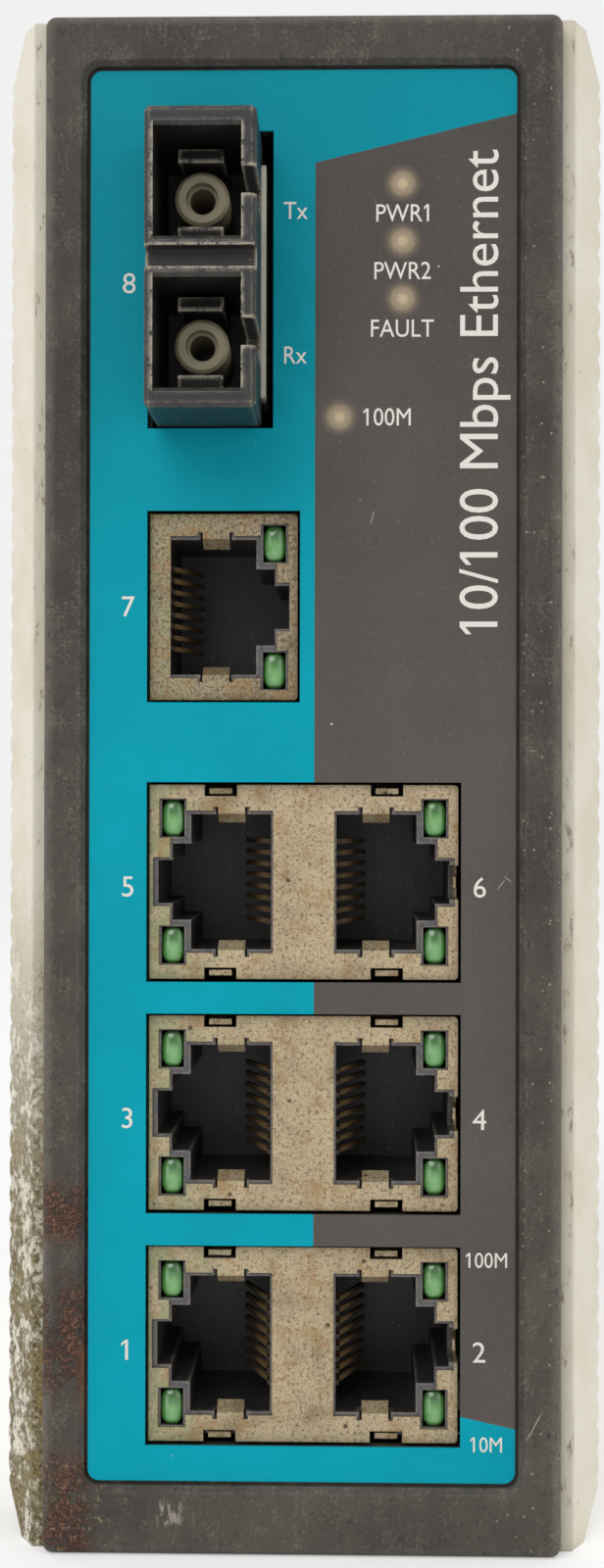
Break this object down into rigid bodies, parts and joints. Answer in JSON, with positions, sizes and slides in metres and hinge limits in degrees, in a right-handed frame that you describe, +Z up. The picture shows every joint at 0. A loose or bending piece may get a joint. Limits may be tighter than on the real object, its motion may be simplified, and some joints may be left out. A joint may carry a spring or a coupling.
{
  "type": "din rail ethernet switch",
  "caption": "Metal-cased industrial network switch for a DIN rail, with copper ports and a duplex fibre port in a narrow front, reeded side panels, and a pull-off power plug on top.",
  "frame": {"origin": "middle of the rail seat on the back plate, level with the middle of the rail", "axes": "+Z up, +Y out of the back toward the rail, +X to the right of someone looking at the front"},
  "size_m": [0.0536, 0.1216, 0.1443],
  "materials": {
    "black_plastic": "moulded black",
    "board_laminate": "green laminate",
    "capacitor_sleeve": "shrunk sleeve",
    "ceramic": "pale sleeve",
    "component_black": "moulded",
    "contact_gold": "gold plated",
    "converter_can": "painted can",
    "dip_red": "moulded red",
    "frame_plastic": "fine texture, dusty",
    "green_lens": "clear green",
    "label_film": "printed film, matt",
    "lamp_lens": "diffuse",
    "lever_white": "white",
    "pale_film": "cream",
    "rail_aluminium": "satin",
    "screw_steel": "zinc plated",
    "sheet_steel": "satin grey",
    "shield_nickel": "nickel plated, dull with brown specks",
    "side_panel": "powder coated off-white, dirty",
    "spring_steel": "bright spring steel",
    "terminal_green": "moulded green",
    "tin": "tinned"
  },
  "bodies": {
    "case": {"board_link": "black_plastic", "board_screws": "screw_steel", "board_spacers": "tin", "capacitors": "capacitor_sleeve", "chassis": "sheet_steel", "din_plate": "rail_aluminium", "din_screws": "screw_steel", "din_spring": "spring_steel", "dip_body": "dip_red", "earth_screw": "screw_steel", "earth_washer": "screw_steel", "fibre_housing": "black_plastic", "fibre_side_strip": "pale_film", "fibre_sleeves": "ceramic", "frame_screws": "screw_steel", "front_frame": "frame_plastic", "front_label": "label_film", "jack_12_contacts": "contact_gold", "jack_12_insert": "black_plastic", "jack_12_lamps": "green_lens", "jack_12_shield": "shield_nickel", "jack_34_contacts": "contact_gold", "jack_34_insert": "black_plastic", "jack_34_lamps": "green_lens", "jack_34_shield": "shield_nickel", "jack_56_contacts": "contact_gold", "jack_56_insert": "black_plastic", "jack_56_lamps": "green_lens", "jack_56_shield": "shield_nickel", "jack_7_contacts": "contact_gold", "jack_7_insert": "black_plastic", "jack_7_lamps": "green_lens", "jack_7_shield": "shield_nickel", "lamp_holder": "black_plastic", "left_side_panel": "side_panel", "left_side_screws": "screw_steel", "main_board": "board_laminate", "power_board": "board_laminate", "relay": "component_black", "right_side_panel": "side_panel", "right_side_screws": "screw_steel", "status_lamps": "lamp_lens", "switch_chip": "component_black", "terminal_header": "black_plastic", "terminal_header_pins": "tin", "transceiver_body": "component_black", "transceiver_pins": "tin", "voltage_converter": "converter_can"},
    "plug": {"terminal_plug": "terminal_green", "terminal_screws": "screw_steel", "terminal_clamps": "tin"},
    "lever_1": {"dip_lever_1": "lever_white"},
    "lever_2": {"dip_lever_2": "lever_white"},
    "lever_3": {"dip_lever_3": "lever_white"},
    "lever_4": {"dip_lever_4": "lever_white"},
    "lever_5": {"dip_lever_5": "lever_white"},
    "lever_6": {"dip_lever_6": "lever_white"},
    "lever_7": {"dip_lever_7": "lever_white"},
    "lever_8": {"dip_lever_8": "lever_white"}
  },
  "joints": [
    {"name": "plug_pull", "type": "slide", "parent": "case", "child": "plug", "axis": [0, 0, 1], "range_m": [0, 0.02]},
    {"name": "lever_1_slide", "type": "slide", "parent": "case", "child": "lever_1", "axis": [1, 0, 0], "range_m": [0, 0.0016]},
    {"name": "lever_2_slide", "type": "slide", "parent": "case", "child": "lever_2", "axis": [1, 0, 0], "range_m": [0, 0.0016]},
    {"name": "lever_3_slide", "type": "slide", "parent": "case", "child": "lever_3", "axis": [1, 0, 0], "range_m": [0, 0.0016]},
    {"name": "lever_4_slide", "type": "slide", "parent": "case", "child": "lever_4", "axis": [1, 0, 0], "range_m": [0, 0.0016]},
    {"name": "lever_5_slide", "type": "slide", "parent": "case", "child": "lever_5", "axis": [1, 0, 0], "range_m": [0, 0.0016]},
    {"name": "lever_6_slide", "type": "slide", "parent": "case", "child": "lever_6", "axis": [1, 0, 0], "range_m": [0, 0.0016]},
    {"name": "lever_7_slide", "type": "slide", "parent": "case", "child": "lever_7", "axis": [1, 0, 0], "range_m": [0, 0.0016]},
    {"name": "lever_8_slide", "type": "slide", "parent": "case", "child": "lever_8", "axis": [1, 0, 0], "range_m": [0, 0.0016]}
  ]
}
